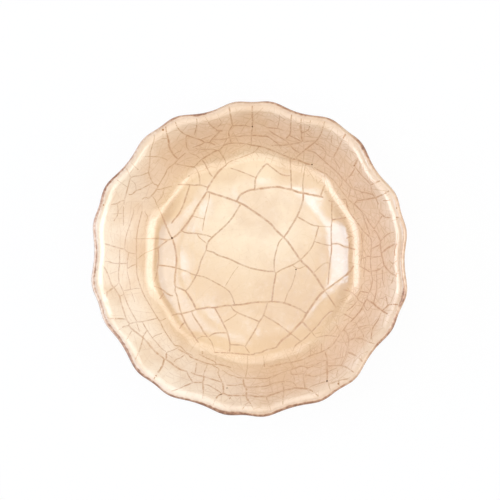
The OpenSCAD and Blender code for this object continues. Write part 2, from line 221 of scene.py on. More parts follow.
LOWER_WALL_CRACKS = {
    .44: [[338,380.5, 339,386.5], [163.5,359, 161.5,366, 153.5,378.5]],
    .42: [[242.8,378, 243.5,384.5, 245.5,387, 246.2,390, 246,397, 249,401.5], [166,352, 165.7,358.5], [203,376,
     203.2,379, 202.2,382, 202.5,385, 203,391.5]],
    .40: [[346.8,352, 350.3,352.7, 358.5,357.5, 362.8,361.9], [222,382.5, 222.8,386, 223,393], [223,393, 218,395,
     214.5,399.5]],
    .36: [[348.5,340, 353.8,337.9, 361.3,338.3, 364.5,340, 374,343.3], [324.7,352, 326.5,360, 326.7,381], [286,389,
     290,388.8, 293.5,387.5, 297,387.5, 305,388.3, 309,389, 315,393, 318,396]],
    .34: [[223.3,393, 230,395, 250.5,395, 254,396, 266.3,396], [266.3,396, 286,389], [281.8,382.4, 283.2,389,
     282.2,404], [230.5,397, 228.5,398.5], [162,356.8, 163.7,358.5, 166,359, 174.3,365.5, 180,369, 186.5,371],
     [192.3,382.2, 183.5,385.8]],
    .32: [[327,365.5, 340,365, 347,367.5, 353.5,372], [328,382.5, 331.5,382.5, 338,380, 347.2,378.2, 350,376.5],
     [190.3,372, 196.5,374.5, 203,376], [177.5,348.5, 187.5,354, 192,357.5, 206.5,363]],
    .30: [[343.5,329.5, 346.8,333.7, 348.3,341, 346,351.8, 344,358.5, 341,364.5], [286,370, 290,369.5, 292.5,368,
     296,367.5, 299,366, 303,365.8], [222,382, 203,376], [266.3,396.3, 266.3,398.7, 267.8,401.3, 270.2,409.5],
     [206.5,363, 212,364, 216,364, 219,364, 230.5,367], [186.5,371, 187.3,374, 192.3,382], [196,362.5, 194.8,372.5],
     [201.8,350.5, 202,354]],
    .28: [[350.5,321, 347.2,323.3, 343.3,329.1, 339.5,333.3, 335.7,339.5, 330.3,346, 321,351.4, 309.5,355.3,
     302.6,358.8, 290,362, 286,362, 280.5,363.7, 269,366], [355,321, 356,323.5, 356.7,325.5, 360.5,330.3, 363,335,
     362.7,338], [217.5,371, 218,374, 222,382.5], [269,378, 269.5,384], [245.5,386.8, 263.5,385.8, 270,384,
     273.2,382.8, 284,380.7], [192.3,382, 202,382], [184.5,354, 179.5,357.5, 175.8,358.8, 173.5,361.5]],
    .26: [[359,356.5, 360.7,353.5, 367,351], [321,343, 320.8,351], [290.3,370, 290.5,372.5, 292.5,374, 304,373],
     [307,367.5, 304,373, 302.8,375.5, 304.5,388], [249,401.5, 253.5,409], [249,401.5, 245.8,403.5, 241.5,408.8],
     [214.5,399.5, 212.5,404.5], [263,356, 264,366.5], [202.5,384, 209,385.3, 220.5,392.3], [207,364, 203,374,
     203,376]],
    .24: [[335.7,321, 337.2,327.2, 340.3,331], [354,337.5, 355.5,331], [304,374.5, 309,375, 312.5,376, 320,374.3,
     336.5,367.3], [309,387, 312.5,385, 325,381], [327.5,382, 330,390], [243.5,384, 239.5,384, 235,385, 226,384.5],
     [234,375.5, 237.5,377, 244.5,377.5, 264.5,378, 269,377, 286,370.5], [205,357, 214,361, 215.5,363], [211.5,364.5,
     218,368, 218.2,371], [183.5,385.8, 177,388.8, 171,390.5], [203,391.5, 202,398], [198.5,353.5, 205,357]],
    .22: [[356,323, 358.5,321, 362,316], [344,356.2, 340,357.3, 331.8,359], [309.5,345, 310,354.8], [289.8,362.5,
     292.3,368], [303,365.8, 306.5,367, 309,367, 323.5,360.3, 326.5,360]],
    .20: [[336,340.5, 340.3,341.8, 347.5,341.5], [348,333, 355.5,327], [360.8,329.5, 364,327.5, 368.3,326.8],
     [337.3,369.7, 336.3,374, 336.8,377.5, 338,379.5], [303.8,360.5, 304.5,363, 303.3,365.5], [285.5,381, 292.5,382,
     296.5,387], [246.8,355, 247,366, 244.8,377.5]],
    .18: [[341.5,342, 339.5,357], [309,361.5, 305.5,363.5], [293,374.5, 294.3,381], [269.5,384, 272.5,392],
     [222,369.5, 228.5,374, 234.5,375.6], [215.5,355, 215.3,360]],
    .16: [[166.5,353.5, 172,357.5]],
}

# How strongly the cracks of each place are stained, and how that grows with a crack's width
STAINED = [(0.66, WELL_CRACKS), (0.70, UPPER_WALL_CRACKS), (0.52, LEFT_WALL_CRACKS), (0.76, RIGHT_WALL_CRACKS),
           (0.58, LOWER_WALL_CRACKS)]
STAIN_LEAST, STAIN_BY_WIDTH = 0.83, 0.6

# Pinholes and brown spots of the glaze as (x, y in pixels, radius in mm, darkness)
PINHOLES = [(172,238,.32,3), (296,269.5,.24,3), (312,164.5,.24,2.4), (189,176,.16,1.6), (327,381,.27,2.6),
            (221,394.5,.19,2), (252.3,126.6,.24,1.8), (338.3,383.8,.29,1.3), (354.2,165.5,.27,1.4), (227,388,.18,1.8),
            (163,129.8,.4,1.1), (103.4,205,.32,.9), (396.7,208,.24,1.2)]

# Brown line of the lip as (direction in degrees, distance in from the edge in pixels, width in pixels)
LIP_LINE = [
    (-168,2,1.8), (-160,2.2,1.7), (-150,1,2.6), (-137.6,0,2.8), (-124.8,0,2.2), (-112.8,0,2), (-104,0,2.9),
    (-96.6,0,3.7), (-89.6,0,2.4), (-82.2,0,2.4), (-73.2,0,2.6), (-64.8,0,2.3), (-56.7,0,1.9), (-50.4,0,1.7),
    (-44.5,0,1.1), (-39.2,0,1.2), (-33,0,2), (-26.6,0,2.3), (-21.9,0,2.4), (-18.4,1.2,1.2), (-13.9,.4,4), (-10,2,1.6),
    (-2.6,2.6,1.3), (4.8,2.6,1.2), (12.4,1,1.2), (18.6,1.6,1), (24.3,0,.8), (31.2,0,1.1), (38.7,0,1.7), (44.2,0,2.8),
    (48.5,0,2), (52,0,.9), (57.9,0,1.8), (63.6,0,1.6), (70,0,2), (77.3,0,2), (83.4,0,1.6), (88,0,.9), (93,0,1.1),
    (101.7,0,1.1), (110,0,2.6), (114,0,1.5), (120,0,2.2), (128,0,1), (136,0,1.2), (146,0,2.1), (154,0,2.6),
    (160,.6,2.2), (168,1.2,1.8), (176,1.8,1.8), (184,2,2),
]


def smooth(x):
    """A soft step from 0 at x = 0 to 1 at x = 1."""
    x = np.clip(x, 0, 1)
    return x * x * (3 - 2 * x)


def ring_of(n):
    """n unit vectors evenly round a circle."""
    a = np.linspace(0, 2 * np.pi, n, endpoint=False)
    return np.stack([np.cos(a), np.sin(a)], 1)


def polar(r, a, z):
    """Points at radii, directions and heights."""
    return np.stack([r * np.cos(a), r * np.sin(a), z], -1)


def way_along(path):
    """How far along a path each of its points lies."""
    return np.concatenate([[0], np.cumsum(np.linalg.norm(np.diff(path, axis=0), axis=1))])


def square_to(path):
    """Unit vectors square to a path in the plane, on its left."""
    way = np.gradient(path, axis=0)
    return np.stack([-way[:, 1], way[:, 0]], 1) / np.linalg.norm(way, axis=1)[:, None]


# Section of the dish: how many steps its stretches take in the piece and in the profile that heights are read from
FACE_STEPS = (24, 10, 18, 16, 18)
PROFILE_STEPS = (40, 60, 90, 40, 90)
PROFILE_LIP_STEPS = 90


def arc(start, r, slope_from, slope_to, hollow, n):
    """n + 1 rows (radius, height, slope) of an arc that starts at a place and turns from one slope to another."""
    slope = np.linspace(slope_from, slope_to, n + 1)
    way = r if hollow else -r
    return np.stack([start[0] + way * (np.sin(slope) - np.sin(slope_from)),
                     start[1] + way * (np.cos(slope_from) - np.cos(slope)), slope], 1)


def face_section(level, sweep, corner, wall, evert):
    """The face from the axis to the lip: level well, slow rise, hollow corner, straight wall, turned-out lip.
    Each number is how many steps that stretch takes."""
    flat = np.stack([np.linspace(0, WELL_D / 2, level + 1), np.full(level + 1, FLOOR_Z), np.zeros(level + 1)], 1)
    rise = arc(flat[-1], SWEEP_R, 0, SWEEP_SLOPE, True, sweep)
    turn = arc(rise[-1], CORNER_R, SWEEP_SLOPE, WALL_SLOPE, True, corner)
    along = np.linspace(0, WALL_L, wall + 1)
    slant = np.stack([turn[-1, 0] + along * np.cos(WALL_SLOPE), turn[-1, 1] + along * np.sin(WALL_SLOPE),
                      np.full(wall + 1, WALL_SLOPE)], 1)
    out = arc(slant[-1], EVERT_R, WALL_SLOPE, LIP_SLOPE, False, evert)
    return np.concatenate([flat, rise[1:], turn[1:], slant[1:], out[1:]])


def way_up(r):
    """Share of the way from the corner of the well to the lip."""
    return np.clip((r - CORNER_X) / (LIP_X - CORNER_X), 0, 1)


def shares(r):
    """How much of the lobes and of the brackets a place on the face takes, by its mean radius."""
    u = way_up(r)
    begin = smooth((r - WELL_D / 2) / (CORNER_X - WELL_D / 2))
    return begin * (FLUTE_SHARE + (1 - FLUTE_SHARE) * u), u ** 2


def stand_out(a, lobe, bracket):
    """How far the dish stands out from its mean radius in a direction: the lobes' cosine, less the brackets'
    second and third harmonics, and the waves of a dish pressed by hand."""
    t = LOBES * (a - LOBE_TURN)
    warp = sum(swell * np.cos(k * (a - np.radians(way))) for k, swell, way in HAND_WARP)
    dip = BRACKET_DIP * np.cos(2 * t) + NOTCH_ROUND * np.cos(3 * t)
    return lobe * (LOBE_SWELL * np.cos(t) + warp) - bracket * dip


def rows_below(face, depth):
    """Rows (radius, height, lobes' share, brackets' share) at a depth under rows of the face."""
    r, z, slope = face.T
    return np.stack([r + depth * np.sin(slope), z - depth * np.cos(slope), *shares(r)], 1)


def lip_round(r, n, turn_to=-90.0):
    """Rows round the lip at a radius about the middle of its thickness, from the face to the back."""
    turn = LIP_SLOPE + np.radians(np.linspace(90.0, turn_to, n + 1))
    mid_x = LIP_X + LIP_T / 2 * np.sin(LIP_SLOPE)
    mid_z = LIP_Z - LIP_T / 2 * np.cos(LIP_SLOPE)
    lobe, bracket = shares(LIP_X)
    return np.stack([mid_x + r * np.cos(turn), mid_z + r * np.sin(turn),
                     np.full(n + 1, lobe), np.full(n + 1, bracket)], 1)


def foot_outer(z):
    """Radius of the foot ring's outer side at a height."""
    return FOOT_ROOT_R - FOOT_LEAN * (1 - z / FOOT_H)


def foot_inner(z):
    """Radius of the foot ring's inner side at a height."""
    return FOOT_ROOT_R - FOOT_TOP_W + FOOT_LEAN * (1 - z / FOOT_H)


def plain(r, z):
    """Rows that take no lobes, from radii and heights."""
    r, z = np.broadcast_arrays(np.array(r, float), z)
    return np.stack([r, z, np.zeros_like(r), np.zeros_like(r)], 1)


# Unevenness of the fired glaze, in millimetres, with slow waves that are drawn once from a fixed seed
WAVE_DRAW = np.random.default_rng(11)
WAVE_N, WAVE_HIGH = 26, 0.0025
WAVE_LENGTH = WAVE_DRAW.uniform(8, 19, WAVE_N)
WAVE_WAY = WAVE_DRAW.uniform(0, 2 * np.pi, WAVE_N)
WAVE_START = WAVE_DRAW.uniform(0, 2 * np.pi, WAVE_N)
WAVE_CALM, WAVE_FROM, WAVE_GROW = 0.15, 12, 10
WAVE_OFF_LIP, WAVE_FADE = 1.5, 5
WELL_SAG = 0.36
CREASE_DEEP, CREASE_WIDE = 0.2, 0.8
CREASE_FROM, CREASE_GROW, CREASE_OFF_LIP, CREASE_FADE = 38, 5, 0.9, 2


def unevenness(x, y):
    """Height of the fired glaze over the dish's even form: a sum of cosines that dies out in the middle and at the
    lip, less a sag that is deepest in the middle of the well, and a bell-shaped crease at the middle of each lobe."""
    at = np.stack([x, y], -1)[..., None, :]
    across = (at * np.stack([np.cos(WAVE_WAY), np.sin(WAVE_WAY)], -1)).sum(-1)
    waves = (WAVE_HIGH * np.cos(2 * np.pi * across / WAVE_LENGTH + WAVE_START)).sum(-1)
    far = np.hypot(x, y)
    to_edge = RIM_D / 2 - far
    grown = WAVE_CALM + (1 - WAVE_CALM) * smooth((far - WAVE_FROM) / WAVE_GROW)
    waves = waves * smooth((to_edge - WAVE_OFF_LIP) / WAVE_FADE) * grown
    lobe_turns = LOBES * (np.arctan2(y, x) - LOBE_TURN)
    aside = far * np.arctan2(np.sin(lobe_turns), np.cos(lobe_turns)) / LOBES
    crease = np.exp(-(aside / CREASE_WIDE) ** 2 / 2) * smooth((far - CREASE_FROM) / CREASE_GROW)
    crease = crease * smooth((to_edge - CREASE_OFF_LIP) / CREASE_FADE)
    return waves - CREASE_DEEP * crease - WELL_SAG * (1 - np.minimum(1, far / CORNER_X) ** 2) ** 2


PROFILE_R, PROFILE_Z, PROFILE_LOBE, PROFILE_BRACKET = np.concatenate([
    rows_below(face_section(*PROFILE_STEPS), 0), lip_round(LIP_T / 2, PROFILE_LIP_STEPS, turn_to=0)[1:]]).T
HEIGHT_ROUNDS = 14


def face_height(x, y):
    """Height of the glazed face over a place, found by taking the lobes' stand-out off its radius."""
    a, far = np.arctan2(y, x), np.hypot(x, y)
    r = far
    for _ in range(HEIGHT_ROUNDS):
        r = far - stand_out(a, np.interp(r, PROFILE_R, PROFILE_LOBE), np.interp(r, PROFILE_R, PROFILE_BRACKET))
    return np.interp(r, PROFILE_R, PROFILE_Z) + unevenness(x, y)


# How brown the lip is: its line, which flickers and has soft edges, and its tinge, in millimetres
LIP_AT, LIP_IN, LIP_WIDE = (np.array(v, float) for v in zip(*LIP_LINE))
LIP_DRAW = np.random.default_rng(5)
LIP_FLICKER = [(k, LIP_DRAW.uniform(0, 2 * np.pi)) for k in (37, 53, 71, 97, 131, 167)]
LINE_WIDEN, LINE_FLICKER = 1.1, 0.2
BOLD_LEAST, BOLD_PX, BOLD_FLICKER = 0.2, 4, 0.06
LINE_AHEAD, LINE_OVER, LINE_SOFT = 0.1, 0.9, 0.2
LINE_PAST, LINE_SOFT_IN = 0.2, 0.3
TINGE, TINGE_OVER, TINGE_SOFT, TINGE_FADE = 0.46, 1.2, 0.8, 1.0
UNDER_TIMES = 2


def lip_brown(points):
    """Brown of the lip at points near it, from 0 to 1: a line whose place and width change round the rim, and a soft
    tinge that fades from it towards the well and under the lip."""
    a = np.arctan2(points[:, 1], points[:, 0])
    edge = lip_round(LIP_T / 2, 2)[1]
    inward = RIM_D / 2 + stand_out(a, edge[2], edge[3]) - np.hypot(points[:, 0], points[:, 1])
    inward = np.where(points[:, 2] < DISH_H - LIP_T / 2, -UNDER_TIMES * inward, inward)
    flicker = sum(np.cos(k * a + start) for k, start in LIP_FLICKER) / len(LIP_FLICKER)
    start = np.interp(np.degrees(a), LIP_AT, LIP_IN, period=360) * RIM_MM_PER_PX
    wide_px = np.interp(np.degrees(a), LIP_AT, LIP_WIDE, period=360)
    end = start + wide_px * RIM_MM_PER_PX * (LINE_WIDEN + LINE_FLICKER * flicker)
    bold = smooth(BOLD_LEAST + wide_px / BOLD_PX + BOLD_FLICKER * flicker)
    reach = np.where(start > LINE_AHEAD, start - LINE_AHEAD, -LINE_OVER)
    line = bold * smooth((inward - reach) / LINE_SOFT) * smooth((end + LINE_PAST - inward) / LINE_SOFT_IN)
    tinge = TINGE * smooth((inward + TINGE_OVER) / TINGE_SOFT) * np.exp(-np.maximum(0, inward - end) / TINGE_FADE)
    return np.clip(np.maximum(line, tinge), 0, 1)


# Cracks, in millimetres: points along and across one, and how many times its own width its soft strip is
CRACK_STEP, CRACK_PROUD = 0.5, (0.006, 0.02)
CRACK_EDGE, CRACK_DEEP = 0.004, 0.12
CRACK_TIP, CRACK_TAPER = 0.8, 1.2
CRACK_SOFT = 2.55
CRACK_ACROSS = np.array([-1, -0.2, 0.2, 1, 0])
CRACK_STAIN = np.array([0, 1, 1, 0, 1])
RAY_ROUNDS = 8


def onto_dish(px):
    """Places in millimetres where the camera's rays through pixels of the photograph meet the face."""
    across = (px - PHOTO_PX / 2) * PX_TO_MM
    ray = np.concatenate([across, np.full((len(px), 1), -CAMERA_FAR)], 1) @ CAMERA_AXES
    at = EYE + ray
    for _ in range(RAY_ROUNDS):
        at = EYE + ray * ((face_height(at[:, 0], at[:, 1]) - EYE[2]) / ray[:, 2])[:, None]
    return at[:, :2]


def eased(points, step):
    """A Catmull-Rom curve through points, with a point about every step."""
    p = np.concatenate([[2 * points[0] - points[1]], points, [2 * points[-1] - points[-2]]])
    parts = []
    for a, b, c, d in zip(p[:-3], p[1:-2], p[2:-1], p[3:]):
        t = np.linspace(0, 1, max(1, round(np.linalg.norm(c - b) / step)), endpoint=False)[:, None]
        second, third = 2 * a - 5 * b + 4 * c - d, 3 * b - a - 3 * c + d
        parts.append(0.5 * (2 * b + (c - a) * t + second * t ** 2 + third * t ** 3))
    return np.concatenate(parts + [points[-1:]])


def crack_fill(routes, lie, dip=False):
    """The brown that fills cracks, as closed wedges along routes of (width, strength, places). A section has four
    points just proud of the glaze, the stronger cracks over the weaker, and one under it. With dip, the outer two lie
    just under the glaze, and hide no crack that meets there. lie gives points for places and depths."""
    points, faces, stain, n = [], [], [], 0
    m = len(CRACK_ACROSS)
    ring = np.arange(m)[::-1]
    nxt = np.roll(ring, -1)
    for width, strength, places in routes:
        path = eased(places, CRACK_STEP)
        along = way_along(path)
        taper = CRACK_TIP + (1 - CRACK_TIP) * smooth(np.minimum(along, along[-1] - along) / CRACK_TAPER)
        off = CRACK_ACROSS * (CRACK_SOFT * width / 2 * taper)[:, None]
        at = path[:, None, :] + off[..., None] * square_to(path)[:, None, :]
        proud = CRACK_PROUD[0] + (CRACK_PROUD[1] - CRACK_PROUD[0]) * min(1, strength)
        edge = CRACK_EDGE if dip else -proud
        depth = np.broadcast_to([edge, -proud, -proud, edge, CRACK_DEEP], at.shape[:2])
        points.append(lie(at.reshape(-1, 2), depth.reshape(-1)))
        stain.append(np.tile(CRACK_STAIN, len(path)) * strength)
        k = n + np.arange(len(path) - 1)[:, None] * m
        faces += np.stack([k + ring, k + nxt, k + m + nxt, k + m + ring], -1).reshape(-1, 4).tolist()
        faces += [(n + ring[::-1]).tolist(), (n + (len(path) - 1) * m + ring).tolist()]
        n += len(path) * m
    return np.concatenate(points), faces, np.concatenate(stain)


def over_face(at, depth):
    """Points of the face at places, at a depth straight under it."""
    return np.stack([at[:, 0], at[:, 1], face_height(at[:, 0], at[:, 1]) - depth], 1)


def under_base(at, depth):
    """Points of the base's underside at places seen from below, at a depth up into it."""
    return np.stack([at[:, 0], -at[:, 1], COAT_Z + depth], 1)


def over_rows(rows, mean_r):
    """A lay of places (way round at mean_r, way along the rows) on rows carried round the lobes, and their length."""
    along = way_along(rows[:, :2])
    columns = np.concatenate([rows, -square_to(rows[:, :2])], 1).T

    def lie(at, depth):
        """Points on the rows at places, at a depth square to them."""
        a = at[:, 0] / mean_r
        r, z, lobe, bracket, out_r, out_z = (np.interp(at[:, 1], along, c) for c in columns)
        return polar(r + stand_out(a, lobe, bracket) - depth * out_r, a, z - depth * out_z)
    return lie, along[-1]


# Crazing drawn from a seed: how cells are split, how cracks vary, and the waves that bend the whole net
CELL_ASKEW, CELL_OFF, CELL_VARY = 0.16, 0.22, (0.55, 1.7)
CRAZE_VARY, CRAZE_WIDTH, CRAZE_WIDEN = (0.6, 1.3), 0.8, 0.25
BEND_LENGTH, BEND_SHAPE = (5, 14), (2, 6)
LEAST_POINTS = 3


def split_cells(outline, area, seed):
    """Straight cracks that split an outline into cells of about an area. Each crosses the longer way of its cell near
    the middle, slightly askew, and ends on older cracks."""
    rng = np.random.default_rng(seed)
    cells, cracks = [np.array(outline, float)], []
    while cells:
        cell = cells.pop()
        ahead = np.roll(cell, -1, 0)
        size = abs((cell[:, 0] * ahead[:, 1] - cell[:, 1] * ahead[:, 0]).sum()) / 2
        longer = np.linalg.svd(cell - cell.mean(0))[2][0]
        askew = rng.normal(0, CELL_ASKEW)
        across = longer * np.cos(askew) + longer[::-1] * (-1, 1) * np.sin(askew)
        reach = (cell - cell.mean(0)) @ across
        side = reach - rng.uniform(-CELL_OFF, CELL_OFF) * np.ptp(reach)
        i = np.nonzero((side > 0) != (np.roll(side, -1) > 0))[0]
        if size < area * rng.uniform(*CELL_VARY) or len(i) != 2:
            continue
        share = side[i] / (side[i] - np.roll(side, -1)[i])
        ends = cell[i] + share[:, None] * (ahead - cell)[i]
        cracks.append(ends)
        cells.append(np.concatenate([ends[:1], cell[i[0] + 1:i[1] + 1], ends[1:]]))
        cells.append(np.concatenate([ends[1:], cell[i[1] + 1:], cell[:i[0] + 1], ends[:1]]))
    return cracks


def crazing(outline, area, seed, width, strength, wander, to_place=None, flat=1.0, more_at=(0, 0)):
    """Routes of a net of cracks in an outline, with a place about every millimetre. One set of slow waves bends all of
    it. flat is how many times wider than high its cells are, and more_at the way in which it gets stronger."""
    rng = np.random.default_rng(seed + 100)
    length, start = rng.uniform(*BEND_LENGTH, BEND_SHAPE), rng.uniform(0, 2 * np.pi, BEND_SHAPE)
    way = rng.uniform(0, 2 * np.pi, BEND_SHAPE)
    routes = []
    for ends in split_cells(np.array(outline) * (1, flat), area * flat, seed):
        ends = ends / (1, flat)
        t = np.linspace(0, 1, LEAST_POINTS + int(np.linalg.norm(ends[1] - ends[0])))[:, None]
        line = ends[0] + (ends[1] - ends[0]) * t
        phase = line[:, :1, None] * np.cos(way) + line[:, 1:, None] * np.sin(way)
        line = line + wander * np.cos(2 * np.pi * phase / length + start).sum(-1)
        vary = rng.uniform(*CRAZE_VARY)
        line = to_place(line) if to_place else line
        more = 1 + line.mean(0) @ more_at / (RIM_D / 2)
        routes.append((width * (CRAZE_WIDTH + CRAZE_WIDEN * vary), strength * vary * more, line))
    return routes


# Pinholes: their sides, their core's share of the radius, and their stain at middle, core, edge and point
PIT_SIDES, PIT_CORE, PIT_PROUD = 12, 0.7, 1.2 * CRACK_PROUD[1]
PIT_STAIN = (1, 0.9, 0.2, 1)


def pinhole_fill(holes):
    """Round dark pits in the glaze, each a closed cone with a flat top of two rings."""
    points, faces, stain, n = [], [], [], 0
    ring, j = ring_of(PIT_SIDES), np.arange(PIT_SIDES)
    for x, y, r, dark in holes:
        mid = onto_dish(np.array([[x, y]], float))
        at = np.concatenate([mid, mid + ring * r * PIT_CORE, mid + ring * r, mid])
        depth = np.where(np.arange(len(at)) < len(at) - 1, -PIT_PROUD, CRACK_DEEP)
        points.append(over_face(at, depth))
        stain.append(dark * np.repeat(PIT_STAIN, (1, PIT_SIDES, PIT_SIDES, 1)))
        inner, inner_next = n + 1 + j, n + 1 + (j + 1) % PIT_SIDES
        outer, outer_next = inner + PIT_SIDES, inner_next + PIT_SIDES
        faces += np.stack([np.full(PIT_SIDES, n), inner, inner_next], 1).tolist()
        faces += np.stack([inner, outer, outer_next, inner_next], 1).tolist()
        n += len(at)
        faces += np.stack([np.full(PIT_SIDES, n - 1), outer_next, outer], 1).tolist()
    return np.concatenate(points), faces, np.concatenate(stain)


# Materials

def put(tree, socket, value):
    """Link a socket to another one, or give it a plain value."""
    if isinstance(value, bpy.types.NodeSocket):
        tree.links.new(value, socket)
    else:
        socket.default_value = value


def add(tree, kind, *values, **named):
    """A shader node of a kind. What has no name goes to its inputs in order, names with a capital go to the inputs
    that they name, and the others set its own options."""
    n = tree.nodes.new("ShaderNode" + kind)
    inputs = dict(enumerate(values))
    for key, value in named.items():
        if key[0].isupper():
            inputs[key.replace("_", " ")] = value
        else:
            setattr(n, key, value)
    for key, value in inputs.items():
        put(tree, n.inputs[key], value)
    return n


def mix(tree, factor, a, b):
    """A mix of two colours, each a socket or a plain colour, by a factor socket."""
    n = add(tree, "Mix", factor, data_type="RGBA")
    for socket, colour in zip(n.inputs[6:8], (a, b)):
        put(tree, socket, (*colour, 1) if isinstance(colour, tuple) else colour)
    return n.outputs[2]


def spread(tree, value, low, high, out_low=0.0, out_high=1.0):
    """A soft map of a value's range low..high to another range."""
    return add(tree, "MapRange", interpolation_type="SMOOTHSTEP", Value=value, From_Min=low, From_Max=high,
               To_Min=out_low, To_Max=out_high).outputs["Result"]


def times(tree, a, b):
    """The product of two value sockets."""
    return add(tree, "Math", a, b, operation="MULTIPLY").outputs["Value"]


def vector_work(tree, operation, *vectors):
    """The outputs of an operation on vectors."""
    return add(tree, "VectorMath", *vectors, operation=operation).outputs


def noise(tree, where, scale, detail=3.0, rough=0.55):
    """The value of a noise texture at a place."""
    return add(tree, "TexNoise", Vector=where, Scale=scale, Detail=detail, Roughness=rough).outputs["Fac"]


def relief(tree, height, strength, distance):
    """The normal of a surface with a relief of that height."""
    return add(tree, "Bump", Height=height, Strength=strength, Distance=distance).outputs["Normal"]


# Colours of the glaze in the well and on the wall, of its tan and pale clouds, and of what stains it, with a wall tone
# painted paler as painted light, and a tan that darkens the well's corner as painted shade
CREAM = (0.87, 0.70, 0.475)
WELL_TAN = (0.765, 0.548, 0.33)
WALL_TAN = (0.71, 0.485, 0.308)
# Painted light: the wall's tone on its left side, paler where the light falls
WALL_PAINTED_LIT = (0.88, 0.745, 0.585)
CLOUD_TAN = (0.68, 0.45, 0.26)
# Painted shade: the darker tan of the ring round the well's corner
CORNER_SHADE_TAN = (0.58, 0.38, 0.225)
CLOUD_PALE = (0.90, 0.75, 0.56)
CRACK_BROWN = (0.45, 0.22, 0.09)
PIT_BROWN = (0.06, 0.03, 0.015)
LIP_BROWN = (0.44, 0.22, 0.115)
LIP_DARK = (0.20, 0.085, 0.04)

# Where the tones change, in metres from the axis, from CREAM_MIDDLE or along the way towards the wall's side that is
# painted paler as painted light. A ring of painted shade darkens the corner of the well, on its two sides only.
WALL_AT = (0.029, 0.038)
LIT_SIDE_WAY, PALE_AT = (-0.92, -0.40, 0), (0.002, 0.040)
CREAM_MIDDLE, CREAM_AT = (0, 0.016, 0), (0.004, 0.030)
SHADE_RING_FROM, SHADE_RING_TO, SHADE_RING_ASIDE, SHADE_RING_MOST = (0.0272, 0.0288), (0.0300, 0.0313), (0.020, 0.027), 0.6
LIP_PALE_AT, LIP_PALE_MOST = (0.0405, 0.0450), 0.4

# Clouds and speckles of the glaze as (scale, detail and roughness of the noise, its range, how much at most, colour)
CLOUDS = [(75, 3, 0.55, (0.42, 0.70), 0.52, CLOUD_TAN), (520, 4, 0.65, (0.48, 0.76), 0.2, CLOUD_PALE),
          (1300, 2, 0.55, (0.56, 0.78), 0.30, CLOUD_TAN)]


def glaze_tone_group():
    """Colour of the glaze by place: cream in the well, tan on the wall but painted paler on one side as painted light,
    with a ring of painted shade round the well's corner, clouded and speckled.
    """
    g = bpy.data.node_groups.new("glaze_tone", "ShaderNodeTree")
    g.interface.new_socket("Colour", in_out="OUTPUT", socket_type="NodeSocketColor")
    where = add(g, "TexCoord").outputs["Object"]
    flat = vector_work(g, "MULTIPLY", where, (1, 1, 0))["Vector"]
    far = vector_work(g, "LENGTH", flat)["Value"]
    # Painted light: the wall turns paler towards its left side, where the light falls
    to_lit_side = vector_work(g, "DOT_PRODUCT", where, LIT_SIDE_WAY)["Value"]
    side = mix(g, spread(g, to_lit_side, *PALE_AT), WALL_TAN, WALL_PAINTED_LIT)
    off_middle = vector_work(g, "DISTANCE", flat, CREAM_MIDDLE)["Value"]
    well = mix(g, spread(g, off_middle, *CREAM_AT), CREAM, WELL_TAN)
    tone = mix(g, spread(g, far, *WALL_AT), well, side)
    # Painted shade: a darker tan ring round the corner of the well, on its left and right sides only
    ring = times(g, spread(g, far, *SHADE_RING_FROM), spread(g, far, *SHADE_RING_TO, 1, 0))
    aside = add(g, "SeparateXYZ", vector_work(g, "ABSOLUTE", where)["Vector"]).outputs["X"]
    corner_shade = times(g, ring, spread(g, aside, *SHADE_RING_ASIDE, 0, SHADE_RING_MOST))
    tone = mix(g, corner_shade, tone, CORNER_SHADE_TAN)
    tone = mix(g, spread(g, far, *LIP_PALE_AT, 0, LIP_PALE_MOST), tone, CLOUD_PALE)
    for scale, detail, rough, span, most, colour in CLOUDS:
        tone = mix(g, spread(g, noise(g, where, scale, detail, rough), *span, 0, most), tone, colour)
    put(g, g.nodes.new("NodeGroupOutput").inputs["Colour"], tone)
    return g


def new_tree(name):
    """A material and its empty node tree."""
    m = bpy.data.materials.new(name)
    m.use_nodes = True
    m.node_tree.nodes.clear()
    return m, m.node_tree


GLAZE_TONE = glaze_tone_group()
GLAZE_IOR, GLOSS, GLOSS_VARY, DARK_OVER = 1.6, 0.09, 1.3, 0.7
PAPER_GLOW = 0.95


def glaze_material(name, measure=None, colour=None, dark=None, dark_from=1.0, patchy=0.0, matt=GLOSS, shine=0.5):
    """Glossy glaze in its own tone. Where a piece stores a measure, the tone turns to a colour, and past dark_from to
    a darker one, in patches, and its roughness rises to matt."""
    m, t = new_tree(name)
    tone = add(t, "Group", node_tree=GLAZE_TONE).outputs["Colour"]
    where = add(t, "TexCoord").outputs["Object"]
    if measure:
        stain = add(t, "Attribute", attribute_name=measure).outputs["Fac"]
        patch = times(t, stain, spread(t, noise(t, where, 900), 0.3, 0.7, 1 - patchy, 1 + patchy))
        tone = mix(t, spread(t, patch, 0, 1), tone, colour)
        tone = mix(t, spread(t, patch, dark_from, dark_from + DARK_OVER), tone, dark)
        rough = spread(t, stain, 0.1, 1, GLOSS, matt)
    else:
        rough = spread(t, noise(t, where, 500, 2), 0.3, 0.7, GLOSS, GLOSS_VARY * GLOSS)
    normal = relief(t, noise(t, where, 700, 2), strength=0.03, distance=0.0004)
    shader = add(t, "BsdfPrincipled", Base_Color=tone, Roughness=rough, IOR=GLAZE_IOR, Specular_IOR_Level=shine,
                 Normal=normal)
    add(t, "OutputMaterial", Surface=shader.outputs[0])
    return m


